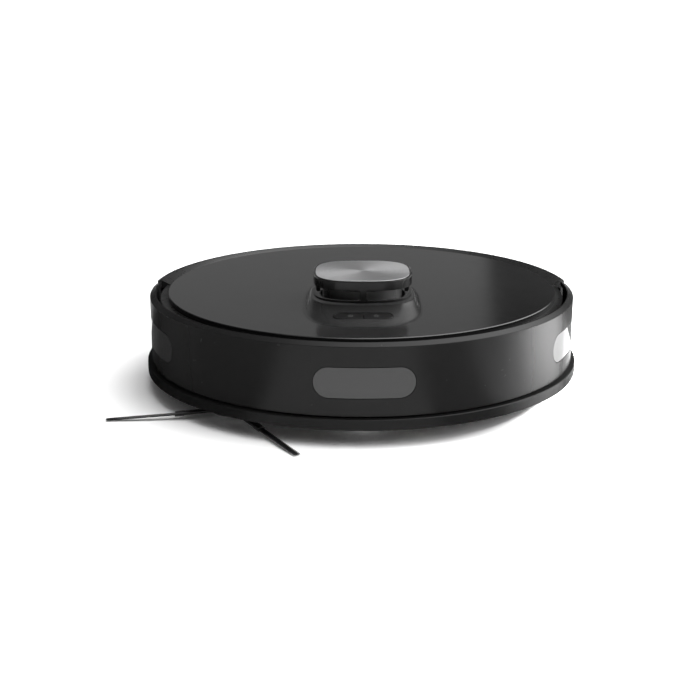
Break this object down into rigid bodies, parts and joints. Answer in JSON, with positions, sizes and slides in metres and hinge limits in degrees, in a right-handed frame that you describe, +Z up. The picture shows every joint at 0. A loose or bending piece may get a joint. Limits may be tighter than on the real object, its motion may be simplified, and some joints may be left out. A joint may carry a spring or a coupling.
{
  "type": "robot vacuum cleaner",
  "caption": "Round black robot vacuum with raised laser turret, wrap-round sprung bumper, side brush, main brush, drive wheels and rear dust bin.",
  "frame": {"origin": "on the floor, under the axis of the round body", "axes": "+Z up; -Y is the drive direction (front, bumper), +Y the dust bin; +X is the robot's own left when it drives towards -Y, the right-hand side seen from the front"},
  "size_m": [0.368, 0.366, 0.1009],
  "materials": {
    "shell_black": "fine matt texture",
    "rear_black": "satin",
    "panel_gloss": "gloss",
    "hump_black": "satin gloss",
    "button_trim": "gloss",
    "button_face": "satin",
    "guard_gloss": "gloss",
    "spun_metal": "spun brushed",
    "drum_gloss": "high gloss",
    "inner_plastic": "matt",
    "bearing_steel": "ground",
    "motor_can": "rolled can",
    "belt_rubber": "toothless flat belt",
    "bumper_gloss": "semi gloss",
    "window_smoked": "gloss infra-red window",
    "arm_plastic": "matt glass-filled nylon",
    "spring_steel": "drawn wire",
    "hub_plastic": "satin",
    "tyre_rubber": "matt rubber",
    "roller_plastic": "satin",
    "side_brush_plastic": "matt soft plastic",
    "bristle_nylon": "nylon bristle",
    "screw_steel": "zinc plated",
    "brush_core_plastic": "satin",
    "brush_fin_rubber": "soft rubber",
    "guard_plastic": "matt",
    "bin_smoked": "smoked, satin outside",
    "bin_lid_plastic": "satin",
    "filter_media": "pleated paper",
    "latch_plastic": "gloss",
    "impeller_plastic": "natural nylon",
    "battery_wrap": "shrink wrap",
    "board_green": "solder mask",
    "contact_plate": "nickel plated",
    "sensor_lens": "dark infra-red lens"
  },
  "bodies": {
    "chassis": {"base_screws": "screw_steel", "base_shell": "shell_black", "battery_cover": "shell_black", "battery_pack": "battery_wrap", "brush_belt": "belt_rubber", "brush_motor": "motor_can", "button_bezel": "button_trim", "caster_socket": "inner_plastic", "charging_contacts": "contact_plate", "cliff_sensor_windows": "sensor_lens", "fan_housing": "inner_plastic", "fan_motor": "motor_can", "lidar_base": "inner_plastic", "lidar_bearing": "bearing_steel", "lidar_belt": "belt_rubber", "lidar_motor": "motor_can", "main_board": "board_green", "side_brush_gearbox": "inner_plastic", "suction_housing": "inner_plastic", "suspension_spring_left": "spring_steel", "suspension_spring_right": "spring_steel", "top_panel": "panel_gloss", "turret_hump": "hump_black", "upper_housing": "rear_black", "wheel_well_left": "inner_plastic", "wheel_well_right": "inner_plastic"},
    "bumper": {"bumper_shell": "bumper_gloss", "bumper_window_front": "window_smoked", "bumper_window_left": "window_smoked", "bumper_window_right": "window_smoked"},
    "turret_guard": {"turret_guard": "guard_gloss", "turret_cap_inlay": "spun_metal"},
    "laser_rotor": {"lidar_drum": "drum_gloss"},
    "laser_motor_pulley": {"lidar_motor_pulley": "inner_plastic"},
    "power_button": {"power_button": "button_face"},
    "dock_button": {"dock_button": "button_face"},
    "swing_arm_left": {"swing_arm_left": "arm_plastic", "drive_motor_left": "motor_can"},
    "swing_arm_right": {"swing_arm_right": "arm_plastic", "drive_motor_right": "motor_can"},
    "drive_wheel_left": {"wheel_hub_left": "hub_plastic", "tyre_left": "tyre_rubber"},
    "drive_wheel_right": {"wheel_hub_right": "hub_plastic", "tyre_right": "tyre_rubber"},
    "caster_fork": {"caster_fork": "arm_plastic", "caster_axle": "bearing_steel"},
    "caster_roller": {"caster_wheel": "roller_plastic"},
    "side_brush": {"side_brush_hub": "side_brush_plastic", "side_brush_bristles": "bristle_nylon", "side_brush_screw": "screw_steel"},
    "main_brush": {"main_brush_core": "brush_core_plastic", "main_brush_fins": "brush_fin_rubber", "brush_pulley": "inner_plastic"},
    "brush_motor_pulley": {"brush_motor_pulley": "inner_plastic"},
    "brush_guard": {"brush_guard": "guard_plastic"},
    "dust_bin": {"dust_bin": "bin_smoked", "bin_lid": "bin_lid_plastic", "bin_filter": "filter_media"},
    "bin_latch": {"bin_latch": "latch_plastic"},
    "fan_impeller": {"fan_impeller": "impeller_plastic"}
  },
  "joints": [
    {"name": "bumper_push", "type": "slide", "parent": "chassis", "child": "bumper", "axis": [0, 1, 0], "range_m": [0, 0.004], "stiffness_N_per_m": 800, "springref_m": -0.002},
    {"name": "turret_guard_press", "type": "slide", "parent": "chassis", "child": "turret_guard", "axis": [0, 0, -1], "range_m": [0, 0.001], "stiffness_N_per_m": 2500, "springref_m": -0.0006},
    {"name": "laser_spin", "type": "hinge", "parent": "chassis", "child": "laser_rotor", "pos_m": [0, -0.0515, 0.085], "axis": [0, 0, 1], "continuous": true},
    {"name": "laser_motor_spin", "type": "hinge", "parent": "chassis", "child": "laser_motor_pulley", "pos_m": [0.034, -0.018, 0.067], "axis": [0, 0, 1], "continuous": true},
    {"name": "power_button_press", "type": "slide", "parent": "chassis", "child": "power_button", "axis": [0, 0.1787, -0.9839], "range_m": [0, 0.0006], "stiffness_N_per_m": 500, "springref_m": -0.0003},
    {"name": "dock_button_press", "type": "slide", "parent": "chassis", "child": "dock_button", "axis": [0, 0.1787, -0.9839], "range_m": [0, 0.0006], "stiffness_N_per_m": 500, "springref_m": -0.0003},
    {"name": "suspension_left", "type": "hinge", "parent": "chassis", "child": "swing_arm_left", "pos_m": [-0.102, 0.044, 0.034], "axis": [1, 0, 0], "range_deg": [0, 28], "stiffness_Nm_per_rad": 0.2, "springref_deg": 45.84},
    {"name": "drive_wheel_left_spin", "type": "hinge", "parent": "swing_arm_left", "child": "drive_wheel_left", "pos_m": [-0.1225, 0, 0.032], "axis": [1, 0, 0], "continuous": true},
    {"name": "suspension_right", "type": "hinge", "parent": "chassis", "child": "swing_arm_right", "pos_m": [0.102, 0.044, 0.034], "axis": [1, 0, 0], "range_deg": [0, 28], "stiffness_Nm_per_rad": 0.2, "springref_deg": 45.84},
    {"name": "drive_wheel_right_spin", "type": "hinge", "parent": "swing_arm_right", "child": "drive_wheel_right", "pos_m": [0.1225, 0, 0.032], "axis": [1, 0, 0], "continuous": true},
    {"name": "caster_swivel", "type": "hinge", "parent": "chassis", "child": "caster_fork", "pos_m": [0, -0.132, 0.023], "axis": [0, 0, 1], "continuous": true},
    {"name": "caster_roll", "type": "hinge", "parent": "caster_fork", "child": "caster_roller", "pos_m": [0, -0.128, 0.0105], "axis": [1, 0, 0], "continuous": true},
    {"name": "side_brush_spin", "type": "hinge", "parent": "chassis", "child": "side_brush", "pos_m": [-0.098, -0.11, 0.0073], "axis": [0, 0, 1], "continuous": true},
    {"name": "main_brush_spin", "type": "hinge", "parent": "chassis", "child": "main_brush", "pos_m": [0, 0.004, 0.023], "axis": [1, 0, 0], "continuous": true},
    {"name": "brush_motor_spin", "type": "hinge", "parent": "chassis", "child": "brush_motor_pulley", "pos_m": [0.0886, 0.004, 0.0575], "axis": [1, 0, 0], "continuous": true},
    {"name": "brush_guard_open", "type": "hinge", "parent": "chassis", "child": "brush_guard", "pos_m": [0, -0.0226, 0.0113], "axis": [-1, 0, 0], "range_deg": [0, 75]},
    {"name": "dust_bin_slide", "type": "slide", "parent": "chassis", "child": "dust_bin", "axis": [0, 1, 0], "range_m": [0, 0.115]},
    {"name": "bin_latch_press", "type": "slide", "parent": "dust_bin", "child": "bin_latch", "axis": [0, -1, 0], "range_m": [0, 0.0015], "stiffness_N_per_m": 500, "springref_m": -0.0005},
    {"name": "fan_spin", "type": "hinge", "parent": "chassis", "child": "fan_impeller", "pos_m": [-0.111, 0.079, 0.042], "axis": [0, 0, 1], "continuous": true}
  ],
  "couplings": [
    {"joint": "laser_motor_spin", "follows": "laser_spin", "ratio": 6.2857},
    {"joint": "brush_motor_spin", "follows": "main_brush_spin", "ratio": 1.6}
  ]
}
